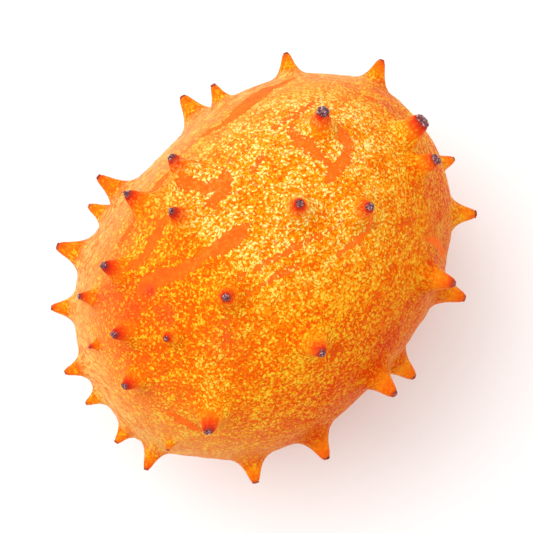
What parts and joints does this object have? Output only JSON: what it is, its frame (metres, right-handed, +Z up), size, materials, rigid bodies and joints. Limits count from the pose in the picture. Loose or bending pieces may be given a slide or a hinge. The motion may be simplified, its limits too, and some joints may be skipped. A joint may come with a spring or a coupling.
{
  "type": "horned melon",
  "caption": "Whole ripe horned melon: a plump orange egg-shaped fruit studded with stiff horns, lying on its side on horn tips.",
  "frame": {"origin": "centre of the bounding box at the level the horn tips rest on", "axes": "+X along the fruit towards the stem end, -X towards the blossom end, +Z up as it lies on its side"},
  "size_m": [0.1128, 0.0912, 0.0909],
  "materials": {
    "skin": null
  },
  "bodies": {
    "root": {"horned_melon": "skin"}
  },
  "joints": []
}
